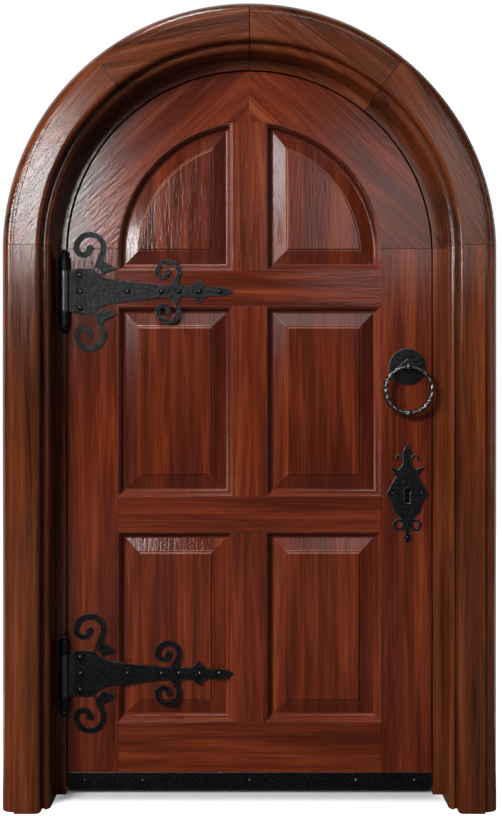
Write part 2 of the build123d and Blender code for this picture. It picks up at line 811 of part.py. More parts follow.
def ring_rose():
    """Round back plate, dished towards its rim, with a gabled boss round the staple."""
    dish = rose_radius * rose_dish_share
    bore = staple_shank_radius + staple_shank_play
    back = [(bore, 0), (rose_radius, 0)]
    front = [(rose_radius, -rose_rim), (dish, -rose_thickness), (bore, -rose_thickness)]
    turned = revolve(make_face(Polyline(*back, *front, close=True)), Axis.Y)
    boss_outline = outlined([
        (boss_half_width, 0), (0, boss_height), (-boss_half_width, 0),
        (-boss_half_width * boss_foot_share, -boss_drop), (boss_half_width * boss_foot_share, -boss_drop),
    ])
    seat = leaf_front - rose_thickness
    boss = slab(Pos(lock_line, ring_height) * boss_outline, seat, seat - boss_rise)
    neck_hole = staple_neck_radius + staple_shank_play
    boss -= depth_cylinder(neck_hole, lock_line, ring_height, seat - boss_rise, seat)
    return Pos(lock_line, leaf_front, ring_height) * turned + boss


def ring_staple():
    """Post with a ball that the ring passes through, and a shank that runs through the stile."""
    seat = leaf_front - rose_thickness - ring_axis_y
    nut_end = leaf_back + inner_plate_thickness + staple_nut_height - ring_axis_y
    neck_meets_ball = sqrt(staple_ball_radius ** 2 - staple_neck_radius ** 2)
    corner = staple_ball_radius * diagonal_share
    side = Polyline(
        (staple_neck_radius, neck_meets_ball), (staple_neck_radius, seat), (staple_shank_radius, seat),
        (staple_shank_radius, nut_end), (0, nut_end), (0, -staple_ball_radius))
    nose = ThreePointArc((0, -staple_ball_radius), (corner, -corner), (staple_neck_radius, neck_meets_ball))
    post = revolve(make_face([side, nose]), Axis.Y)
    eye = Rot(0, 90, 0) * Cylinder(ring_round_radius + ring_eye_play, staple_ball_radius * 2 + overrun)
    return Pos(lock_line, ring_axis_y, ring_height) * (post - eye)


def staple_nut():
    """Washer and nut on the inside of the leaf."""
    washer_back = leaf_back + inner_plate_thickness
    centre = Pos(lock_line, ring_height)
    hole = Circle(staple_shank_radius + staple_shank_play)
    washer = slab(centre * (Circle(staple_nut_radius + rose_rim) - hole), washer_back, leaf_back)
    hexagon = RegularPolygon(staple_nut_radius, staple_nut_sides)
    nut = slab(centre * (hexagon - hole), washer_back + staple_nut_height, washer_back)
    return [washer, nut]


def ring_bar_plane(angle):
    """The section plane of the ring at an angle from its right side."""
    turn = radians(angle)
    outward = Vector(cos(turn), 0, sin(turn))
    origin = Vector(lock_line, ring_axis_y, ring_centre_z) + outward * ring_mean_radius
    return Plane(origin, x_dir=outward, z_dir=(-sin(turn), 0, cos(turn)))


def ring_corners(angle, turn):
    """The bar's four corners in one section, turned about the bar's own line."""
    half_diagonal = ring_bar_size * diagonal_share
    turns = [radians(turn + quarter) for quarter in (45, 135, 225, 315)]
    plane = ring_bar_plane(angle)
    return [plane.from_local_coords((half_diagonal * cos(t), half_diagonal * sin(t), 0)) for t in turns]


def ring_round(radius, start, end):
    """A round length of the ring between two angles."""
    centre = Axis((lock_line, ring_axis_y, ring_centre_z), (0, -1, 0))
    return revolve(ring_bar_plane(start) * Circle(radius), centre, end - start)


def ring_twist(start, end):
    """A twisted square length of the ring between two angles, its sides folded where the smith turned it."""
    rows = []
    for step in range(ring_twist_sections):
        angle = start + (end - start) * step / (ring_twist_sections - 1)
        rows.append(ring_corners(angle, ring_twist_step * step))
    sides = [outlined(rows[0]), outlined(rows[-1])]
    for near, far in zip(rows, rows[1:]):
        for i in range(len(near)):
            sides.append(outlined([near[i - 1], near[i], far[i]]))
            sides.append(outlined([near[i - 1], far[i], far[i - 1]]))
    return Solid(Shell(sides))


def ring():
    """The ring: round above, twisted square bar below, with collars and a knop at the bottom."""
    half_knop = ring_knop_angle / 2
    left_end = 180 + ring_round_end_angle
    right_end = 360 - ring_round_end_angle
    body = ring_round(ring_round_radius, right_end - 360, left_end)
    body += ring_round(ring_collar_radius, left_end, left_end + ring_collar_angle)
    body += ring_round(ring_collar_radius, right_end - ring_collar_angle, right_end)
    body += ring_twist(left_end + ring_collar_angle, ring_bottom_angle - half_knop)
    body += ring_twist(ring_bottom_angle + half_knop, right_end - ring_collar_angle)
    return body + ring_round(ring_knop_radius, ring_bottom_angle - half_knop, ring_bottom_angle + half_knop)


# Keyhole plates
def escutcheon():
    """Pierced keyhole plate with volutes above and loops below."""
    def place(shares, side=1):
        return side * escutcheon_half_width * shares[0], escutcheon_half_height * shares[1]
    right = [place(shares) for shares in escutcheon_shares]
    left = [(-x, z) for x, z in reversed(right[1:-1])]
    plate = outlined(right + left)
    for side in (-1, 1):
        outer = CenterArc((0, 0), volute_radius, volute_start, volute_sweep)
        inner = CenterArc((0, 0), volute_radius - volute_band, volute_start, volute_sweep)
        hook = make_face([outer, Line(outer @ 1, inner @ 1), inner, Line(inner @ 0, outer @ 0)])
        tip = (outer @ 0 + inner @ 0) / 2
        hook += Pos(tip.X, tip.Y) * Circle(volute_band * scroll_bulb_share)
        if side < 0:
            hook = mirror(hook, about=Plane.YZ)
        plate += Pos(*place(volute_shares, side)) * hook
        plate += Pos(*place(loop_shares, side)) * Circle(loop_radius)
    for side in (-1, 1):
        plate -= Pos(*place(loop_shares, side)) * Circle(loop_hole_radius)
    plate = Pos(lock_line, escutcheon_height) * plate - keyhole_outline()
    return slab(plate, leaf_front, escutcheon_seat) - escutcheon_holes


def inner_escutcheon():
    """Plain keyhole plate on the inside."""
    disc = Circle(inner_plate_radius)
    outline = make_hull((disc + Pos(0, -inner_plate_drop) * disc).edges())
    plate = Pos(lock_line, keyhole_height) * outline - keyhole_outline()
    return slab(plate, leaf_back + inner_plate_thickness, leaf_back)


# Lock
def lock_case():
    """Box let into the stile, open for the key and the bolt."""
    shell = block(lock_case_x, lock_case_y, lock_case_span)
    hollow_x = (lock_case_x[0] + lock_wall, lock_case_x[1] - lock_wall)
    hollow_y = (lock_case_y[0] + lock_wall, lock_case_y[1] - lock_wall)
    shell -= block(hollow_x, hollow_y, (lock_case_span[0] + lock_wall, lock_case_span[1] - lock_wall))
    return shell - slab(keyhole_outline(), lock_case_y[1], lock_case_y[0]) - bolt_way


def forend():
    """Face plate on the leaf's edge that the bolt passes through."""
    return block((leaf_radius - forend_thickness, leaf_radius), forend_y, forend_z) - bolt_way


def dead_bolt():
    """The bolt, drawn back flush with the face plate."""
    return block((leaf_radius - bolt_length, leaf_radius), bolt_y, bolt_z)


def levers():
    """The stack of levers that the key lifts, on its pivot post between the case's walls."""
    inner_y = (lock_case_y[0] + lock_wall, lock_case_y[1] - lock_wall)
    left = lock_line - lever_tip_reach
    pivot = (left + lever_length - lever_pivot_inset, keyhole_height)
    post = depth_cylinder(lever_pivot_radius, *pivot, *inner_y)
    hole = Pos(*pivot) * Circle(lever_pivot_radius)
    low, high = keyhole_height - keyhole_drop, keyhole_height + lever_rise
    plate = Pos(left + lever_length / 2, (low + high) / 2) * Rectangle(lever_length, high - low) - hole
    stack = []
    for place in range(lever_count):
        back = inner_y[1] - lever_gap - place * (lever_thickness + lever_gap)
        stack.append(slab(plate, back, back - lever_thickness))
    return [post] + stack


def keep():
    """Plate on the jamb that receives the bolt."""
    keep_z = (bolt_line - keep_height / 2, bolt_line + keep_height / 2)
    plate = block((rebate_radius, rebate_radius + forend_thickness), forend_y, keep_z)
    return plate - keep_hole(rebate_radius + forend_thickness + overrun)


# Build and write every node
os.makedirs("parts", exist_ok=True)

for side_name, side in (("left", -1), ("right", 1)):
    save(f"jamb_{side_name}", jamb(side))
    save(f"arch_rail_{side_name}", arch_rail(side))
save("frame_arch_lower_right", arch_segment(0, frame_haunch_angle))
save("frame_arch_upper_right", arch_segment(frame_haunch_angle, 90))
save("frame_arch_upper_left", arch_segment(90, 180 - frame_haunch_angle))
save("frame_arch_lower_left", arch_segment(180 - frame_haunch_angle, 180))
save("frame_loose_tenons", *frame_tenons(0))

save("hinge_stile", stile(-1))
save("lock_stile", stile(1))
save("leaf_loose_tenons", *leaf_tenons(0))
for name, span in rail_spans.items():
    save(name, rail(span))
for name, span in muntin_spans.items():
    save(name, muntin(span))
for name, (face, taper, strips) in openings.items():
    save(f"panel_{name}", raised_panel(face, taper))
    save(f"moulding_{name}", *moulding(face, taper, strips))

for hinge_name, hinge in zip(("lower", "upper"), hinge_heights):
    save(f"{hinge_name}_hinge_strap", hinge_strap(hinge))
    save(f"{hinge_name}_hinge_bracket", hinge_bracket(hinge))
    save(f"{hinge_name}_hinge_pin", hinge_pin(hinge))
    save(f"{hinge_name}_hinge_nails", *[nail(x, z, strap_seat) for x, z in strap_nails[hinge]])

save("kick_strip", kick_strip())
save("kick_strip_nails", *[nail(x, z, kick_seat) for x, z in kick_nails])

save("ring_rose", ring_rose())
save("ring_staple", ring_staple())
save("ring_nut", *staple_nut())
save("ring_pull", ring())

save("escutcheon", escutcheon())
small_nails = [nail(x, z, escutcheon_seat, small_nail_share) for x, z in escutcheon_nails]
save("escutcheon_nails", *small_nails)
save("inner_escutcheon", inner_escutcheon())

save("lock_case", lock_case())
save("lock_forend", forend())
save("lock_levers", *levers())
save("dead_bolt", dead_bolt())
save("lock_keep", keep())
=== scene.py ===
import json
from math import acos, asin, atan2, cos, degrees, pi, radians, sin, sqrt

import bmesh
import bpy
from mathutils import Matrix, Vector


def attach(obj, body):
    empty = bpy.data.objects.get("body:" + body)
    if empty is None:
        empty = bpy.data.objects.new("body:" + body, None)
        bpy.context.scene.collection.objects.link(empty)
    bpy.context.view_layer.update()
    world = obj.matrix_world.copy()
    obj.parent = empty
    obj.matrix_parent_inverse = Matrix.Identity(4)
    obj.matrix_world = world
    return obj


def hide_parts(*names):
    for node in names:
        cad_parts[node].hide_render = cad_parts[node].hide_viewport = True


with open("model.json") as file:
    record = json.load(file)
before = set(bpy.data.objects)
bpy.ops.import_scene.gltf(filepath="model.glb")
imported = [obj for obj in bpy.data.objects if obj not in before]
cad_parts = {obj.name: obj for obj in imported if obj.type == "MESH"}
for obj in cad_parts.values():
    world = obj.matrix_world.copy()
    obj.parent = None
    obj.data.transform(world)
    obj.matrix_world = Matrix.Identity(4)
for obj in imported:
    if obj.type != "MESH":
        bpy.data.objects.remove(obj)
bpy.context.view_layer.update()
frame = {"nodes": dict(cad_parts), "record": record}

nodes = frame["nodes"]
body_of = {}
for body, members in frame["record"]["behaviour"]["bodies"].items():
    for node in members:
        body_of[node] = body
slot_of = {part["node"]: part["material_slot"] for part in frame["record"]["subparts"]}


# Selecting and editing
weld_distance = 0.00001
flat_angle = radians(0.4)
arris_angle = radians(38)
broad_face_weight = 60


def only(piece):
    """Select one piece alone and make it active."""
    bpy.ops.object.select_all(action="DESELECT")
    piece.select_set(True)
    bpy.context.view_layer.objects.active = piece


def edit(piece):
    """Open one piece in edit mode with all of it selected."""
    only(piece)
    bpy.ops.object.mode_set(mode="EDIT")
    bpy.ops.mesh.select_all(action="SELECT")


def leave_edit():
    bpy.ops.object.mode_set(mode="OBJECT")


def pick(piece, kind, test):
    """In edit mode, select only the faces or edges that pass a test."""
    bpy.ops.mesh.select_all(action="DESELECT")
    bpy.ops.mesh.select_mode(type=kind)
    mesh = bmesh.from_edit_mesh(piece.data)
    for part in (mesh.faces if kind == "FACE" else mesh.edges):
        if test(part):
            part.select_set(True)
    mesh.select_flush_mode()
    bmesh.update_edit_mesh(piece.data)


def applied(piece, kind, **settings):
    """Add one modifier, set it and apply it."""
    only(piece)
    modifier = piece.modifiers.new(kind.lower(), kind)
    for setting, value in settings.items():
        setattr(modifier, setting, value)
    bpy.ops.object.modifier_apply(modifier=modifier.name)


def smoothed(piece, angle):
    """Smooth shading up to an angle, with broad faces keeping their own slope."""
    only(piece)
    bpy.ops.object.shade_smooth_by_angle(angle=radians(angle))
    applied(piece, "WEIGHTED_NORMAL", weight=broad_face_weight, keep_sharp=True)


def eased(node, arris, steps=2, smooth=40, rubbed=False, held=True):
    """A copy of a CAD node with its flat faces joined up and its sharp edges rounded over.

    Rubbed gives the rounded edges the second material, and held keeps them from running into
    each other."""
    only(nodes[node])
    bpy.ops.object.duplicate()
    piece = bpy.context.active_object
    for mark in list(piece.keys()):
        del piece[mark]
    piece.name = "eased_" + node
    piece.data.name = piece.name
    edit(piece)
    bpy.ops.mesh.remove_doubles(threshold=weld_distance)
    bpy.ops.mesh.dissolve_limited(angle_limit=flat_angle)
    leave_edit()
    if rubbed:
        while len(piece.data.materials) < 2:
            piece.data.materials.append(rubbed_iron)
        for face in piece.data.polygons:
            face.material_index = 0
    applied(
        piece, "BEVEL", width=arris, segments=steps, limit_method="ANGLE", angle_limit=arris_angle,
        material=1 if rubbed else -1, use_clamp_overlap=held)
    smoothed(piece, smooth)
    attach(piece, body_of[node])
    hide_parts(node)
    return piece


# Node building
node_spacing = 200
usual_noise = (0.3, 0.7)


def add_node(tree, kind, place, **settings):
    """One node at a place in the node editor, with its settings and socket values."""
    node = tree.nodes.new(kind)
    node.location = (place[0] * node_spacing, place[1] * node_spacing)
    for key, value in settings.items():
        if hasattr(node, key):
            setattr(node, key, value)
        else:
            node.inputs[key.replace("_", " ")].default_value = value
    return node


def joined(tree, *links):
    for start, end in links:
        tree.links.new(start, end)


def ramp(tree, place, *stops):
    """A colour ramp from (position, colour) stops."""
    node = tree.nodes.new("ShaderNodeValToRGB")
    node.location = (place[0] * node_spacing, place[1] * node_spacing)
    elements = node.color_ramp.elements
    while len(elements) < len(stops):
        elements.new(0.5)
    for element, (position, colour) in zip(elements, stops):
        element.position = position
        element.color = (*colour, 1)
    return node


def stretched(tree, place, source, span, new_span, curve="LINEAR"):
    """A value mapped from one span to another."""
    node = add_node(tree, "ShaderNodeMapRange", place, interpolation_type=curve)
    ends = zip(("From Min", "From Max", "To Min", "To Max"), (*span, *new_span))
    for end, value in ends:
        node.inputs[end].default_value = value
    joined(tree, (source, node.inputs["Value"]))
    return node.outputs[0]


def spread(tree, place, source, low, high):
    """A noise value stretched from its usual span to a span of its own."""
    return stretched(tree, place, source, usual_noise, (low, high))


def added(tree, place, *values):
    """The sum of several values."""
    total = values[0]
    for step, value in enumerate(values[1:]):
        node = add_node(tree, "ShaderNodeMath", (place[0] + step, place[1]), operation="ADD")
        joined(tree, (total, node.inputs[0]), (value, node.inputs[1]))
        total = node.outputs[0]
    return total


# Varnished mahogany
red_tones = (
    (0.16, (0.042, 0.0063, 0.0023)), (0.36, (0.066, 0.0096, 0.0031)),
    (0.52, (0.108, 0.0163, 0.0049)), (0.68, (0.155, 0.0275, 0.0078)), (0.88, (0.215, 0.050, 0.0150)))
brown_tones = (
    (0.16, (0.020, 0.0044, 0.0016)), (0.36, (0.054, 0.0122, 0.0034)),
    (0.52, (0.090, 0.0190, 0.0052)), (0.68, (0.128, 0.0300, 0.0080)), (0.88, (0.180, 0.052, 0.0150)))
# Lighter wood laid on panel edges that face left or up, as a painted highlight
painted_highlight_wood_tones = (
    (0.16, (0.12, 0.038, 0.021)), (0.52, (0.20, 0.076, 0.047)), (0.88, (0.30, 0.135, 0.092)))
# Layers of the figure: stretch across, through and along the grain, detail, roughness, twist
wood_layers = {
    "band": ((11, 4, 0.8), 2, 0.5, 0.6), "streak": ((44, 9, 2.1), 4, 0.6, 0.7),
    "vein": ((95, 18, 1.1), 2, 0.5, 0.6), "fibre": ((330, 60, 7), 3, 0.6, 0.0),
    "pore": ((150, 30, 16), 3, 0.6, 0.0), "cloud": ((4, 3, 2), 2, 0.5, 0.0)}
# Share of each layer in the tone, the relief and the varnish's roughness
streak_tones = (0.32, 0.70)
band_tones = (-0.16, 0.15)
fibre_tones = (-0.10, 0.10)
cloud_tones = (-0.05, 0.05)
vein_start = (0.60, 0.74)
vein_tones = (0.0, -0.11)
pore_relief = (0.0, 1.0)
streak_relief = (0.0, 0.35)
wood_relief_strength = 0.30
wood_relief_depth = 0.0008
pore_roughness = (-0.03, 0.03)
varnish_roughness = (0.14, 0.20)
# Step from one board's place in the figure to the next
board_step = (0.731, 0.377, 1.913)


def make_mahogany(name, tones):
    """Wood with its grain along local Z: bands, streaks and fibres, under a streaky varnish."""
    finish = bpy.data.materials.new(name)
    finish.use_nodes = True
    tree = finish.node_tree
    tree.nodes.clear()
    place = add_node(tree, "ShaderNodeTexCoord", (-9, 0))
    board = add_node(tree, "ShaderNodeMapping", (-8, 0))
    board.name = board.label = "board"
    joined(tree, (place.outputs["Object"], board.inputs["Vector"]))
    grain = {}
    for row, (layer, (scale, detail, rough, twist)) in enumerate(wood_layers.items()):
        line = 3 - row * 2
        stretch = add_node(tree, "ShaderNodeMapping", (-7, line), Scale=scale)
        noise = add_node(
            tree, "ShaderNodeTexNoise", (-6, line), Scale=1, Detail=detail, Roughness=rough,
            Distortion=twist)
        joined(
            tree, (board.outputs[0], stretch.inputs["Vector"]),
            (stretch.outputs[0], noise.inputs["Vector"]))
        grain[layer] = noise.outputs[0]
    dark_vein = stretched(tree, (-4, -1), grain["vein"], vein_start, vein_tones)
    streak_tone = spread(tree, (-4, 3), grain["streak"], *streak_tones)
    streak_tone.node.name = streak_tone.node.label = "streak tone"
    tone = added(
        tree, (-3, 0), streak_tone, spread(tree, (-4, 5), grain["band"], *band_tones), dark_vein,
        spread(tree, (-4, -3), grain["fibre"], *fibre_tones),
        spread(tree, (-4, -5), grain["cloud"], *cloud_tones))
    colour = ramp(tree, (2, 0), *tones)
    height = added(
        tree, (-3, -7), spread(tree, (-4, -7), grain["pore"], *pore_relief),
        spread(tree, (-4, -8), grain["streak"], *streak_relief))
    relief = add_node(
        tree, "ShaderNodeBump", (2, -4), Strength=wood_relief_strength, Distance=wood_relief_depth)
    shader = add_node(tree, "ShaderNodeBsdfPrincipled", (4, 0))
    out = add_node(tree, "ShaderNodeOutputMaterial", (6, 0))
    varnish = spread(tree, (-1, -3), grain["streak"], *varnish_roughness)
    varnish.node.name = varnish.node.label = "varnish"
    sheen = added(tree, (0, -2), spread(tree, (-1, -2), grain["pore"], *pore_roughness), varnish)
    joined(
        tree, (tone, colour.inputs[0]), (colour.outputs[0], shader.inputs["Base Color"]),
        (sheen, shader.inputs["Roughness"]), (height, relief.inputs["Height"]),
        (relief.outputs[0], shader.inputs["Normal"]), (shader.outputs[0], out.inputs["Surface"]))
    return finish


red_wood = make_mahogany("red_mahogany", red_tones)
painted_highlight_wood = make_mahogany("painted_highlight_mahogany", painted_highlight_wood_tones)
brown_wood = make_mahogany("brown_mahogany", brown_tones)


def board_finish(name, wood, grain, number, shade=0.0, contrast=1.0, dulled=0.0):
    """A board's own copy of the wood: its grain leans from upright by an angle towards +X.

    Shade moves the tone, contrast widens or narrows its streaks and dulled roughens the varnish."""
    finish = wood.copy()
    finish.name = "mahogany_" + name
    board = finish.node_tree.nodes["board"]
    board.inputs["Rotation"].default_value = (0, radians(-grain), 0)
    board.inputs["Location"].default_value = [number * step for step in board_step]
    streak_tone = finish.node_tree.nodes["streak tone"]
    ends = [streak_tone.inputs[end] for end in ("To Min", "To Max")]
    middle = (ends[0].default_value + ends[1].default_value) / 2
    for end in ends:
        end.default_value = middle + (end.default_value - middle) * contrast + shade
    varnish = finish.node_tree.nodes["varnish"]
    varnish.inputs["To Min"].default_value += dulled
    varnish.inputs["To Max"].default_value += dulled
    return finish


def finish_board(piece, *finishes):
    piece.data.materials.clear()
    for finish in finishes:
        piece.data.materials.append(finish)


# Hammered black iron
dent_blend = 0.7
scale_size = 330
patch_size = 210
scale_relief = 1.2
iron_relief_depth = 0.0016
iron_shine = (0.11, 0.54)
iron_tint = (0.90, 0.97, 1.0, 1)


def make_iron(name, dent_size, dent_depth, smooth_end, rough_end, tones, metal):
    """Forged iron, black and a little worn, with hammer dents and a fine scale."""
    finish = bpy.data.materials.new(name)
    finish.use_nodes = True
    tree = finish.node_tree
    tree.nodes.clear()
    place = add_node(tree, "ShaderNodeTexCoord", (-6, 0))
    dents = add_node(
        tree, "ShaderNodeTexVoronoi", (-5, 1), Scale=1 / dent_size, feature="SMOOTH_F1",
        Smoothness=dent_blend)
    scale_marks = add_node(
        tree, "ShaderNodeTexNoise", (-5, -1), Scale=scale_size, Detail=4, Roughness=0.7)
    patches = add_node(tree, "ShaderNodeTexNoise", (-5, -3), Scale=patch_size, Detail=3, Roughness=0.6)
    for layer in (dents, scale_marks, patches):
        joined(tree, (place.outputs["Object"], layer.inputs["Vector"]))
    height = add_node(tree, "ShaderNodeMath", (-3, 1), operation="MULTIPLY_ADD")
    height.inputs[1].default_value = scale_relief
    relief = add_node(tree, "ShaderNodeBump", (-1, 1), Strength=dent_depth, Distance=iron_relief_depth)
    colour = ramp(tree, (-3, -2), *tones)
    rough = spread(tree, (-3, -4), scale_marks.outputs[0], smooth_end, rough_end)
    shine = spread(tree, (-3, -6), patches.outputs[0], *iron_shine)
    shader = add_node(
        tree, "ShaderNodeBsdfPrincipled", (1, 0), Metallic=metal, Specular_Tint=iron_tint)
    out = add_node(tree, "ShaderNodeOutputMaterial", (3, 0))
    joined(
        tree, (scale_marks.outputs[0], height.inputs[0]), (dents.outputs["Distance"], height.inputs[2]),
        (height.outputs[0], relief.inputs["Height"]), (relief.outputs[0], shader.inputs["Normal"]),
        (patches.outputs[0], colour.inputs[0]), (colour.outputs[0], shader.inputs["Base Color"]),
        (rough, shader.inputs["Roughness"]), (shine, shader.inputs["Specular IOR Level"]),
        (shader.outputs[0], out.inputs["Surface"]))
    return finish


black_tones = (
    (0.30, (0.0007, 0.0007, 0.0008)), (0.52, (0.0014, 0.0014, 0.0015)), (0.74, (0.0040, 0.0040, 0.0042)))
worn_tones = ((0.30, (0.085, 0.085, 0.087)), (0.52, (0.130, 0.130, 0.132)), (0.74, (0.210, 0.208, 0.205)))
rubbed_tones = ((0.30, (0.07, 0.069, 0.067)), (0.52, (0.16, 0.157, 0.153)), (0.74, (0.30, 0.295, 0.29)))
ring_tones = ((0.30, (0.11, 0.11, 0.11)), (0.52, (0.17, 0.17, 0.17)), (0.74, (0.26, 0.258, 0.255)))
nail_tones = ((0.30, (0.045, 0.045, 0.046)), (0.52, (0.07, 0.07, 0.071)), (0.74, (0.11, 0.109, 0.108)))
# Name, dent size and depth, least and most roughness, tones, share of bare metal
plate_iron = make_iron("hammered_black_iron", 0.010, 0.60, 0.32, 0.46, black_tones, 0.0)
worn_iron = make_iron("worn_black_iron", 0.006, 0.12, 0.24, 0.36, worn_tones, 1.0)
ring_iron = make_iron("bright_worn_iron", 0.006, 0.10, 0.17, 0.27, ring_tones, 1.0)
nail_iron = make_iron("dark_nail_iron", 0.006, 0.10, 0.15, 0.24, nail_tones, 1.0)
rubbed_iron = make_iron("rubbed_iron_edge", 0.006, 0.30, 0.34, 0.46, rubbed_tones, 1.0)


def finish_iron(piece, *finishes):
    piece.data.materials.clear()
    for finish in finishes:
        piece.data.materials.append(finish)


# Plain steel of the lock
drawn_lines = (400, 400, 8)
steel_tones = ((0.3, (0.05, 0.049, 0.047)), (0.7, (0.10, 0.098, 0.095)))
steel_relief_strength = 0.2
steel_relief_depth = 0.0003
steel_roughness = 0.38


def make_steel():
    """Dull steel with fine drawn lines."""
    finish = bpy.data.materials.new("dull_lock_steel")
    finish.use_nodes = True
    tree = finish.node_tree
    tree.nodes.clear()
    place = add_node(tree, "ShaderNodeTexCoord", (-4, 0))
    lines = add_node(tree, "ShaderNodeMapping", (-3, 0), Scale=drawn_lines)
    noise = add_node(tree, "ShaderNodeTexNoise", (-2, 0), Scale=1, Detail=3)
    colour = ramp(tree, (-1, 1), *steel_tones)
    relief = add_node(
        tree, "ShaderNodeBump", (-1, -1), Strength=steel_relief_strength, Distance=steel_relief_depth)
    shader = add_node(
        tree, "ShaderNodeBsdfPrincipled", (1, 0), Metallic=1.0, Roughness=steel_roughness)
    out = add_node(tree, "ShaderNodeOutputMaterial", (3, 0))
    joined(
        tree, (place.outputs["Object"], lines.inputs["Vector"]),
        (lines.outputs[0], noise.inputs["Vector"]),
        (noise.outputs[0], colour.inputs[0]), (colour.outputs[0], shader.inputs["Base Color"]),
        (noise.outputs[0], relief.inputs["Height"]), (relief.outputs[0], shader.inputs["Normal"]),
        (shader.outputs[0], out.inputs["Surface"]))
    return finish


steel = make_steel()

# Panels and mouldings, in metres: depths are along Y, insets run in from the opening's edge
leaf_middle = 0.049
tongue_front = 0.0423
bevel_top = 0.0312
ledge_front = 0.0300
field_front = 0.0258
moulding_top = 0.022
moulding_foot = 0.042
opening_near = 0.047
opening_far = 0.373
spring_height = 1.532
opening_heights = {"lower": (0.205, 0.7434), "middle": (0.8434, 1.383), "arched": (1.483, None)}
tongue_margin = 0.010
bevel_start = 0.020
bevel_end = 0.0546
bead_end = 0.0562
ledge_end = 0.0594
field_start = 0.0626
arc_steps = 56
bevel_strips = 6
foot_turn = 0.004
panel_arris = 0.0010
panel_arris_angle = radians(12)
panel_smooth = 30
moulding_smooth = 36
least_inset = 0.00002
at_middle = 0.0001
facing = 0.99
open_area = 0.03
# Moulding section: distance from the outer edge, drop from the top
moulding_section = (
    (0.0018, 0.0), (0.0030, 0.0004), (0.0041, 0.0013), (0.0048, 0.0026), (0.0051, 0.0048),
    (0.0068, 0.0051), (0.0077, 0.0060), (0.0087, 0.0078), (0.0098, 0.0100), (0.0110, 0.0124),
    (0.0123, 0.0148), (0.0137, 0.0170), (0.0153, 0.0186), (0.0174, 0.0196), (0.0200, 0.0200))


def straight_sheet(name, side, heights, margin, depth):
    """A flat upright sheet over a straight opening and a margin round it, facing the front."""
    bpy.ops.object.select_all(action="DESELECT")
    near, far = opening_near - margin, opening_far + margin
    low, high = heights[0] - margin, heights[1] + margin
    place = (side * (near + far) / 2, depth, (low + high) / 2)
    bpy.ops.mesh.primitive_plane_add(size=1, location=place, rotation=(radians(90), 0, 0))
    sheet = bpy.context.active_object
    sheet.scale = (far - near, high - low, 1)
    bpy.ops.object.transform_apply(location=True, rotation=True, scale=True)
    sheet.name = name
    sheet.data.name = name
    return sheet


def inner_face(piece):
    """Select the foremost face, the one that the next inset works on."""
    pick(piece, "FACE", lambda face: face.normal.y < -facing and face.calc_area() > open_area)


def both_sides(piece):
    """Copy what is modelled on the front to the back of the leaf."""
    bpy.ops.mesh.select_all(action="SELECT")
    bpy.ops.mesh.duplicate()
    bpy.ops.transform.resize(value=(1, -1, 1), center_override=(0, leaf_middle, 0))
    bpy.ops.mesh.flip_normals()
    bpy.ops.mesh.select_all(action="SELECT")
    bpy.ops.mesh.remove_doubles(threshold=weld_distance)
    bpy.ops.mesh.normals_make_consistent(inside=False)
    leave_edit()


def arched_loop(side, inset):
    """The outline of an arched opening at an inset: square at the foot and round outside."""
    near, low, radius = opening_near + inset, opening_heights["arched"][0] + inset, opening_far - inset
    foot = asin(max(low - spring_height, 0) / radius)
    start = foot + foot_turn if foot else 0
    stop = acos(near / radius)
    loop = [(near, low), (radius * cos(foot), low)]
    for step in range(arc_steps + 1):
        angle = start + (stop - start) * step / arc_steps
        loop.append((radius * cos(angle), spring_height + radius * sin(angle)))
    return [(side * x, z) for x, z in loop]


def arched_piece(name, side, section, ring):
    """A piece under the arch, made of outlines at the section's insets and depths.

    An inset cannot run into the arc at its two corners, so each outline is worked out and joined to
    the next. A ring is joined from its last outline to its first, and anything else is closed by its
    end faces."""
    return looped_piece(name, [(arched_loop(side, inset), depth) for inset, depth in section], ring)


def looped_piece(name, loops, ring):
    """A closed piece made of outlines, each with its depth, that have the same number of corners."""
    count = len(loops[0][0])
    corners = [(x, depth, z) for loop, depth in loops for x, z in loop]
    faces = []
    for level in range(len(loops) if ring else len(loops) - 1):
        below, above = level * count, (level + 1) % len(loops) * count
        for step in range(count):
            after = (step + 1) % count
            faces.append((below + step, below + after, above + after, above + step))
    if not ring:
        faces.append(tuple(range(count)))
        faces.append(tuple(range(len(corners) - count, len(corners))))
    mesh = bpy.data.meshes.new(name)
    mesh.from_pydata(corners, [], faces)
    piece = bpy.data.objects.new(name, mesh)
    bpy.context.scene.collection.objects.link(piece)
    edit(piece)
    bpy.ops.mesh.normals_make_consistent(inside=False)
    return piece


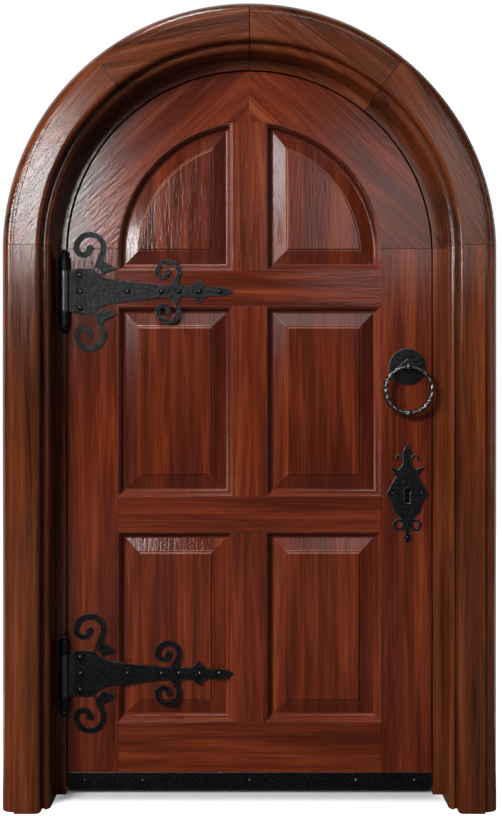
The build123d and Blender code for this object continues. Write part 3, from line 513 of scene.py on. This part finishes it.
def raised_panel(place, side, heights):
    """A panel with a tongue round it and a bevelled, raised field on each face."""
    name = "raised_panel_" + place
    if heights[1] is None:
        front = [(-tongue_margin, tongue_front)]
        for strip in range(bevel_strips + 1):
            share = strip / bevel_strips
            inset = bevel_start + (bevel_end - bevel_start) * share
            front.append((inset, tongue_front + (bevel_top - tongue_front) * share))
        front += [(bead_end, ledge_front), (ledge_end, ledge_front), (field_start, field_front)]
        back = [(inset, leaf_middle * 2 - depth) for inset, depth in reversed(front)]
        panel = arched_piece(name, side, back + front, False)
        leave_edit()
    else:
        panel = straight_sheet(name, side, heights, tongue_margin, leaf_middle)
        edit(panel)
        forward = (0, tongue_front - leaf_middle, 0)
        bpy.ops.mesh.extrude_region_move(TRANSFORM_OT_translate={"value": forward})
        steps = (
            (bevel_start + tongue_margin, 0), (bevel_end - bevel_start, tongue_front - bevel_top),
            (bead_end - bevel_end, bevel_top - ledge_front), (ledge_end - bead_end, 0),
            (field_start - ledge_end, ledge_front - field_front))
        for run, rise in steps:
            inner_face(panel)
            bpy.ops.mesh.inset(thickness=run, depth=rise)
        pick(panel, "FACE", lambda face: all(
            abs(corner.co.y - leaf_middle) < at_middle for corner in face.verts))
        bpy.ops.mesh.delete(type="FACE")
        both_sides(panel)
    applied(
        panel, "BEVEL", width=panel_arris, segments=3, limit_method="ANGLE",
        angle_limit=panel_arris_angle)
    smoothed(panel, panel_smooth)
    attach(panel, "leaf")
    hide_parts("panel_" + place)
    return panel


def mitred_moulding(place, side, heights):
    """The moulding round one opening, on both faces of the leaf."""
    name = "mitred_moulding_" + place
    if heights[1] is None:
        section = [(0, moulding_foot), (0, moulding_top)]
        section += [(run, moulding_top + drop) for run, drop in moulding_section]
        strip = arched_piece(name, side, section, True)
    else:
        strip = straight_sheet(name, side, heights, 0, moulding_foot)
        edit(strip)
        forward = (0, moulding_top - moulding_foot, 0)
        bpy.ops.mesh.extrude_region_move(TRANSFORM_OT_translate={"value": forward})
        across, fallen = 0, 0
        for run, drop in moulding_section:
            inner_face(strip)
            bpy.ops.mesh.inset(thickness=max(run - across, least_inset), depth=fallen - drop)
            across, fallen = run, drop
        pick(strip, "FACE", lambda face: face.calc_area() > open_area and abs(face.normal.y) > facing)
        bpy.ops.mesh.delete(type="FACE")
        bpy.ops.mesh.select_mode(type="EDGE")
        bpy.ops.mesh.select_all(action="DESELECT")
        bpy.ops.mesh.select_non_manifold()
        bpy.ops.mesh.bridge_edge_loops()
    both_sides(strip)
    smoothed(strip, moulding_smooth)
    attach(strip, "leaf")
    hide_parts("moulding_" + place)
    return strip


# Each panel's tone, and the finishes of its edges and of the mouldings, some of them painted highlight
# and painted shade
panel_shades = {
    "lower_left": -0.03, "lower_right": 0.04, "middle_left": -0.10, "middle_right": -0.15,
    "arched_left": -0.13, "arched_right": -0.06}
steep_edge = 0.40
bevel_lean = 0.20
# Tone step of the painted shade on panel bevels turned right or down
painted_dark_bevel_tone = -0.06
# Tone step of the softer painted highlight on middle-row panel edges facing left
painted_left_highlight_tone = 0.12
quiet_streaks = 0.5
# Moulding faces turned right or down past this lean take a darker finish, a painted shade
strip_lean = 0.10
strip_painted_shade = -0.26
strip_dulled = 0.13
first_panel = 31
upright_strips = 10
level_strips = 20
# Places of a panel's finishes after its own: painted highlight, painted shade and a softer painted
# highlight
painted_highlight_edge, painted_dark_bevel, painted_left_highlight = 1, 2, 3
for number, (place, shade) in enumerate(panel_shades.items(), first_panel):
    row, hand = place.split("_")
    side = -1 if hand == "left" else 1
    panel = raised_panel(place, side, opening_heights[row])
    finish_board(
        panel, board_finish("panel_" + place, red_wood, 0, number, shade),
        board_finish("panel_painted_highlight_" + place, painted_highlight_wood, 0, number),
        board_finish(
            "panel_painted_dark_bevel_" + place, red_wood, 0, number, shade + painted_dark_bevel_tone, quiet_streaks),
        board_finish("panel_painted_left_highlight_" + place, red_wood, 0, number, painted_left_highlight_tone, quiet_streaks))
    for face in panel.data.polygons:
        # Faces turned left or up take a painted highlight, those turned right or down a painted shade
        left_edge = row != "lower" and face.normal.x < -steep_edge
        if (left_edge or face.normal.z > steep_edge) and abs(face.normal.y) > steep_edge:
            face.material_index = painted_left_highlight if row == "middle" and left_edge else painted_highlight_edge
        elif max(face.normal.x, -face.normal.z) > bevel_lean:
            face.material_index = painted_dark_bevel
    strip = mitred_moulding(place, side, opening_heights[row])
    strip_finishes = []
    for end, look in (("_", (0.0, 1.0)), ("_painted_dark_", (strip_painted_shade, quiet_streaks))):
        strip_finishes += [
            board_finish(
                "upright_strip" + end + place, red_wood, 0, number + upright_strips, *look, strip_dulled),
            board_finish(
                "level_strip" + end + place, red_wood, 90, number + level_strips, *look, strip_dulled)]
    finish_board(strip, *strip_finishes)
    # The mouldings' left and top members, turned right or down, take the painted shade
    for face in strip.data.polygons:
        level = abs(face.normal.z) > abs(face.normal.x)
        in_painted_shade = max(face.normal.x, -face.normal.z) > strip_lean
        face.material_index = (1 if level else 0) + (2 if in_painted_shade else 0)

# Boards of the frame and leaf: wood, lie of the grain, shade
boards = {
    "jamb_left": (brown_wood, 0), "jamb_right": (brown_wood, 0),
    "frame_arch_lower_left": (brown_wood, 42), "frame_arch_upper_left": (brown_wood, 78, -0.05),
    "frame_arch_upper_right": (brown_wood, -54, -0.03),
    "frame_arch_lower_right": (brown_wood, -30, -0.06),
    "hinge_stile": (red_wood, 0, -0.10), "lock_stile": (red_wood, 0),
    "arch_rail_left": (red_wood, 47, -0.06), "arch_rail_right": (red_wood, -47, -0.04),
    "bottom_rail": (red_wood, 90), "lock_rail": (red_wood, 90), "frieze_rail": (red_wood, 90, -0.04),
    "lower_muntin": (red_wood, 0), "middle_muntin": (red_wood, 0), "upper_muntin": (red_wood, 0),
}
frame_arris = 0.0022
leaf_arris = 0.0015
# Joints that show as dark lines: a point on the joint and the direction across it, along X and Z
frame_joint = radians(51)
joint_height = spring_height + 0.0125
joint_width = 0.0030
joint_shade = -0.34
joint_streaks = 0.3
frame_joints = [
    ((0, joint_height), (0, 1)), ((0, spring_height), (1, 0)),
    ((0, spring_height), (-sin(frame_joint), cos(frame_joint))),
    ((0, spring_height), (sin(frame_joint), cos(frame_joint)))]
leaf_joints = [((0, joint_height), (0, 1))]
rail_joints = [((opening_far, 0), (1, 0)), ((-opening_far, 0), (1, 0))]


def at_joint(piece, face, joints):
    """True for a face all of which lies close to one of the joints."""
    corners = [piece.data.vertices[index].co for index in face.vertices]
    for (x, z), (across, up) in joints:
        if all(abs((corner.x - x) * across + (corner.z - z) * up) < joint_width for corner in corners):
            return True
    return False


for number, (node, (wood, grain, *shade)) in enumerate(boards.items(), 1):
    board = eased(node, frame_arris if wood is brown_wood else leaf_arris, 3)
    finish_board(
        board, board_finish(node, wood, grain, number, *shade),
        board_finish(node + "_joint", wood, grain, number, joint_shade, joint_streaks))
    if wood is brown_wood:
        joints = frame_joints
    else:
        joints = rail_joints if node.endswith("_rail") else leaf_joints
    for face in board.data.polygons:
        face.material_index = 1 if at_joint(board, face, joints) else 0

# Ring pull: a round bar at its eye, roped below, with two collars and a knop at the bottom
ring_eye = Vector((0.446, -0.011, 1.211))
ring_radius = 0.065
ring_centre = ring_eye - Vector((0, 0, ring_radius))
ring_steps = 360
bar_steps = 24
rope_strands = 3
rope_ridges = 20
plain_bar = 0.0047
rope_swell = 0.0031
rope_groove = 0.0024
ring_smooth = 60
# Degrees down from the eye between which the bar swells and the rope's grooves deepen
swell_run = (16, 50)
groove_run = (24, 46)
# Radius, and half its length in degrees along the ring
knop_size = (0.0104, 9.0)
collar_size = (0.0084, 2.4)
collar_place = 12.0


def eased_step(low, high, value):
    """0 below low, 1 above high and a smooth run between them."""
    share = min(max((value - low) / (high - low), 0), 1)
    return share * share * (3 - 2 * share)


def bar_radius(down, along, round_bar):
    """The bar's radius: degrees down from the eye, angle along the ring, angle round the bar."""
    swell = eased_step(*swell_run, down)
    groove = 1 - abs(cos((rope_strands * round_bar - rope_ridges * along) / 2))
    rope = plain_bar + rope_swell * swell - rope_groove * eased_step(*groove_run, down) * groove
    to_foot = 180 - down
    knop = knop_size[0] * sqrt(max(1 - (to_foot / knop_size[1]) ** 2, 0))
    collar = collar_size[0] * sqrt(max(1 - ((to_foot - collar_place) / collar_size[1]) ** 2, 0))
    return max(rope, knop, collar)


def roped_ring():
    """A torus whose bar is drawn in and out round its own line."""
    bpy.ops.object.select_all(action="DESELECT")
    bpy.ops.mesh.primitive_torus_add(
        location=ring_centre, rotation=(radians(90), 0, 0), major_radius=ring_radius,
        minor_radius=plain_bar, major_segments=ring_steps, minor_segments=bar_steps)
    ring = bpy.context.active_object
    bpy.ops.object.transform_apply(location=True, rotation=True, scale=True)
    ring.name = ring.data.name = "roped_ring_pull"
    for corner in ring.data.vertices:
        from_centre = corner.co - ring_centre
        along = atan2(from_centre.z, from_centre.x)
        outward = Vector((cos(along), 0, sin(along)))
        line = outward * ring_radius
        from_line = from_centre - line
        round_bar = atan2(from_line.y, from_line.dot(outward))
        down = abs((degrees(along) - 90 + 180) % 360 - 180)
        reach = bar_radius(down, along, round_bar)
        off_line = outward * reach * cos(round_bar) + Vector((0, reach * sin(round_bar), 0))
        corner.co = ring_centre + line + off_line
    smoothed(ring, ring_smooth)
    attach(ring, "ring")
    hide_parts("ring_pull")
    finish_iron(ring, ring_iron)


roped_ring()

# Bush in the keyhole, with a lip on the plate: a black liner whose inside is a painted shadow in the hole
keyhole_middle = (0.446, 0.8595)
keyhole_radius = 0.009
keyhole_neck = 0.005
keyhole_foot = 0.0075
keyhole_drop = 0.033
head_steps = 24
dip_guess = 0.9
dip_rounds = 6
shadow_liner_smooth = 50
# Distance inside the hole's edge, and depth
shadow_liner_section = (
    (-0.0024, 0.0169), (-0.0022, 0.0158), (-0.0013, 0.0152), (-0.0004, 0.0156), (0.0001, 0.0166),
    (0.0003, 0.0180), (0.0003, 0.0405), (0.0001, 0.0405), (0.0001, 0.0169))
shadow_liner_lip_end = 0.0165


def keyhole_loop(inset):
    """The keyhole's outline at an inset: a round head and a slot that widens downwards."""
    radius = keyhole_radius - inset
    # The angle below level at which the head runs into the slot, found in a few rounds from a guess
    dip = dip_guess
    widening = (keyhole_foot - keyhole_neck) / keyhole_drop
    for attempt in range(dip_rounds):
        half_slot = keyhole_neck - inset + widening * radius * sin(dip)
        dip = acos(half_slot / radius)
    loop = [(keyhole_foot - inset, inset - keyhole_drop)]
    for step in range(head_steps + 1):
        angle = -dip + (pi + dip * 2) * step / head_steps
        loop.append((radius * cos(angle), radius * sin(angle)))
    loop.append((inset - keyhole_foot, inset - keyhole_drop))
    return [(keyhole_middle[0] + x, keyhole_middle[1] + z) for x, z in loop]


shadow_liner = looped_piece("keyhole_painted_shadow_liner", [(keyhole_loop(inset), depth) for inset, depth in shadow_liner_section], True)
leave_edit()
smoothed(shadow_liner, shadow_liner_smooth)
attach(shadow_liner, "leaf")
finish_iron(shadow_liner, rubbed_iron, plate_iron)
# Behind the lip the liner is black iron, standing in for the shade inside the keyhole
for face in shadow_liner.data.polygons:
    face.material_index = 1 if face.center.y > shadow_liner_lip_end else 0

# Other ironwork, lock and hidden tenons
nail_arris = 0.0012
nail_smooth = 80
small_arris = 0.0010
small_smooth = 50
plate_arris = 0.0013
# Places of a plate's finishes after its own
plate_edge, strap_barrel = 1, 2
# The straps' barrels lie left of this line
knuckle_edge = -0.495
for node in nodes:
    if node == "ring_pull":
        continue
    if slot_of[node] == "black_iron" and node.endswith("nails"):
        finish_iron(eased(node, nail_arris, 3, nail_smooth), nail_iron)
    elif node == "ring_staple":
        finish_iron(eased(node, small_arris, 2, small_smooth), worn_iron)
    elif node.endswith("hinge_pin") or node.endswith("bracket"):
        finish_iron(eased(node, small_arris, 2, small_smooth), plate_iron)
    elif slot_of[node] == "black_iron":
        plate = eased(node, plate_arris, rubbed=True, held=node.endswith("hinge_strap"))
        edge_faces = [face.index for face in plate.data.polygons if face.material_index == plate_edge]
        finish_iron(plate, plate_iron, rubbed_iron)
        for index in edge_faces:
            plate.data.polygons[index].material_index = plate_edge
        if node.endswith("hinge_strap"):
            plate.data.materials.append(worn_iron)
            for face in plate.data.polygons:
                if face.center.x < knuckle_edge:
                    face.material_index = strap_barrel
    elif slot_of[node] == "lock_steel":
        nodes[node].data.materials.clear()
        nodes[node].data.materials.append(steel)
    elif node.endswith("loose_tenons"):
        nodes[node].data.materials.clear()
        nodes[node].data.materials.append(brown_wood)


# White background, for the camera and for what is mirrored or seen through from behind the door
def shows_white(tree, along_y, edge):
    """1 for the camera's rays, and for mirrored and passed rays that end beyond an edge along Y."""
    path = add_node(tree, "ShaderNodeLightPath", (-6, 3))
    behind = add_node(tree, "ShaderNodeMath", (-4, 2), operation="GREATER_THAN")
    behind.inputs[1].default_value = edge
    mirrored = add_node(tree, "ShaderNodeMath", (-4, 4), operation="ADD")
    mirrored_behind = add_node(tree, "ShaderNodeMath", (-3, 3), operation="MULTIPLY")
    seen = add_node(tree, "ShaderNodeMath", (-2, 3), operation="ADD", use_clamp=True)
    joined(
        tree, (along_y, behind.inputs[0]), (path.outputs["Is Glossy Ray"], mirrored.inputs[0]),
        (path.outputs["Is Transmission Ray"], mirrored.inputs[1]),
        (mirrored.outputs[0], mirrored_behind.inputs[0]), (behind.outputs[0], mirrored_behind.inputs[1]),
        (path.outputs["Is Camera Ray"], seen.inputs[0]), (mirrored_behind.outputs[0], seen.inputs[1]))
    return seen.outputs[0]


# Floor: pale, with less of its own light in the doorway, a painted shade band in which the leaf's real
# shadow also shows
floor_width = 24
pale_colour = (0.74, 0.74, 0.74, 1)
dim_colour = (0.10, 0.10, 0.10, 1)
floor_light = (0.0, 0.8)
shadow_edge = (0.035, 0.110)
doorway = (0.50, 0.60)
bpy.ops.object.select_all(action="DESELECT")
bpy.ops.mesh.primitive_plane_add(size=floor_width, location=(0, 0, 0))
floor = bpy.context.active_object
floor.name = "floor"
floor_finish = bpy.data.materials.new("pale_floor")
floor_finish.use_nodes = True
tree = floor_finish.node_tree
tree.nodes.clear()
place = add_node(tree, "ShaderNodeTexCoord", (-6, 0))
axes = add_node(tree, "ShaderNodeSeparateXYZ", (-5, 0))
across = add_node(tree, "ShaderNodeMath", (-4, 0), operation="SUBTRACT")
across.inputs[1].default_value = leaf_middle
away = add_node(tree, "ShaderNodeMath", (-3, 0), operation="ABSOLUTE")
aside = add_node(tree, "ShaderNodeMath", (-3, -1), operation="ABSOLUTE")
# The floor's own light fades out towards the leaf's foot: painted shade there
glow = stretched(tree, (-2, 0), away.outputs[0], shadow_edge, floor_light, "SMOOTHSTEP")
outside = stretched(tree, (-2, -1), aside.outputs[0], doorway, floor_light, "SMOOTHSTEP")
open_floor = add_node(tree, "ShaderNodeMath", (-1, -2), operation="MAXIMUM")
seen = shows_white(tree, axes.outputs["Y"], leaf_middle)
strength = add_node(tree, "ShaderNodeMath", (-1, 2), operation="MULTIPLY")
pale = add_node(tree, "ShaderNodeBsdfDiffuse", (-1, 0), Color=pale_colour)
dim = add_node(tree, "ShaderNodeBsdfDiffuse", (-1, -1), Color=dim_colour)
surface = add_node(tree, "ShaderNodeMixShader", (0, 0))
white = add_node(tree, "ShaderNodeEmission", (0, 2), Color=(1, 1, 1, 1))
both = add_node(tree, "ShaderNodeAddShader", (1, 1))
out = add_node(tree, "ShaderNodeOutputMaterial", (2, 1))
joined(
    tree, (place.outputs["Object"], axes.inputs[0]), (axes.outputs["Y"], across.inputs[0]),
    (across.outputs[0], away.inputs[0]), (axes.outputs["X"], aside.inputs[0]),
    (glow, open_floor.inputs[0]), (outside, open_floor.inputs[1]),
    (seen, strength.inputs[0]), (open_floor.outputs[0], strength.inputs[1]),
    (strength.outputs[0], white.inputs["Strength"]), (seen, surface.inputs[0]),
    (dim.outputs[0], surface.inputs[1]), (pale.outputs[0], surface.inputs[2]),
    (surface.outputs[0], both.inputs[0]), (white.outputs[0], both.inputs[1]),
    (both.outputs[0], out.inputs["Surface"]))
floor.data.materials.append(floor_finish)

# World: a white backdrop behind the door, a dim room in front of it
room_colour = (0.95, 0.97, 1.0, 1)
room_span = (-0.15, 0.6)
room_light = (0.045, 0.55)
world = bpy.data.worlds.new("studio")
bpy.context.scene.world = world
world.use_nodes = True
tree = world.node_tree
tree.nodes.clear()
place = add_node(tree, "ShaderNodeTexCoord", (-6, 0))
axes = add_node(tree, "ShaderNodeSeparateXYZ", (-5, 0))
room_level = stretched(tree, (-4, 0), axes.outputs["Y"], room_span, room_light, "SMOOTHSTEP")
seen = shows_white(tree, axes.outputs["Y"], 0.0)
room = add_node(tree, "ShaderNodeBackground", (-2, 0), Color=room_colour)
white = add_node(tree, "ShaderNodeBackground", (-2, -1), Color=(1, 1, 1, 1), Strength=1.0)
blend = add_node(tree, "ShaderNodeMixShader", (0, 0))
out = add_node(tree, "ShaderNodeOutputWorld", (1, 0))
joined(
    tree, (place.outputs["Generated"], axes.inputs[0]), (room_level, room.inputs["Strength"]),
    (seen, blend.inputs[0]), (room.outputs[0], blend.inputs[1]), (white.outputs[0], blend.inputs[2]),
    (blend.outputs[0], out.inputs["Surface"]))


# Lights
def soft_light(name, place, aim, width, height, power, glossy=True, diffuse=True):
    """A rectangular soft box turned towards a point."""
    lamp = bpy.data.lights.new(name, "AREA")
    lamp.shape = "RECTANGLE"
    lamp.size = width
    lamp.size_y = height
    lamp.energy = power
    box = bpy.data.objects.new(name, lamp)
    bpy.context.scene.collection.objects.link(box)
    box.location = place
    box.rotation_euler = (Vector(aim) - Vector(place)).to_track_quat("-Z", "Y").to_euler()
    box.visible_glossy = glossy
    box.visible_diffuse = diffuse


# Name, place, aim, width, height, watts
soft_light("key", (-1.36, -3.5, 2.26), (0, 0, 1.3), 0.6, 0.9, 33)
soft_light("left_sun_bank", (-3.5, -5.0, 3.9), (0, 0, 1.1), 2.0, 2.0, 410, glossy=False)
soft_light("high_glint", (-1.2, -2.4, 6.2), (-0.1, 0, 1.2), 1.4, 1.1, 95, diffuse=False)
soft_light("front_fill", (0.6, -4.2, 2.0), (0, 0, 1.0), 3.0, 2.0, 5, glossy=False)
soft_light("top_bank", (0.4, -3.0, 3.75), (0, 0, 1.0), 2.0, 0.8, 10)
soft_light("left_window", (-3.6, -3.3, 2.28), (0, 0, 1.4), 0.7, 0.9, 62)
soft_light("left_pane", (-2.35, -3.3, 2.55), (0, 0, 1.4), 0.5, 0.6, 14)
soft_light("left_low_pane", (-2.8, -3.3, 1.60), (0, 0, 1.4), 2.0, 0.5, 5.5)
soft_light("right_window", (0.95, -3.5, 2.16), (0, 0, 1.3), 1.2, 0.9, 6.2)
soft_light("right_rim", (3.0, -1.4, 1.7), (0.5, 0, 1.2), 0.4, 2.4, 5)
soft_light("back_wash", (1.4, 3.6, 3.0), (0, 0, 1.1), 2.4, 1.8, 90)

# Camera, level at eye height, framed as the photograph
photo_height = 816
shift_up = -58
shift_across = 1.5
camera_place = (0.0, -2.924, 1.2585)
focal_length = 45.9
camera_data = bpy.data.cameras.new("camera")
camera = bpy.data.objects.new("camera", camera_data)
bpy.context.scene.collection.objects.link(camera)
camera.location = camera_place
camera.rotation_euler = (radians(90), 0, 0)
camera_data.sensor_fit = "AUTO"
camera_data.sensor_width = 36
camera_data.lens = focal_length
camera_data.shift_y = shift_up / photo_height
camera_data.shift_x = shift_across / photo_height
bpy.context.scene.camera = camera
bpy.context.scene.view_settings.view_transform = "Standard"
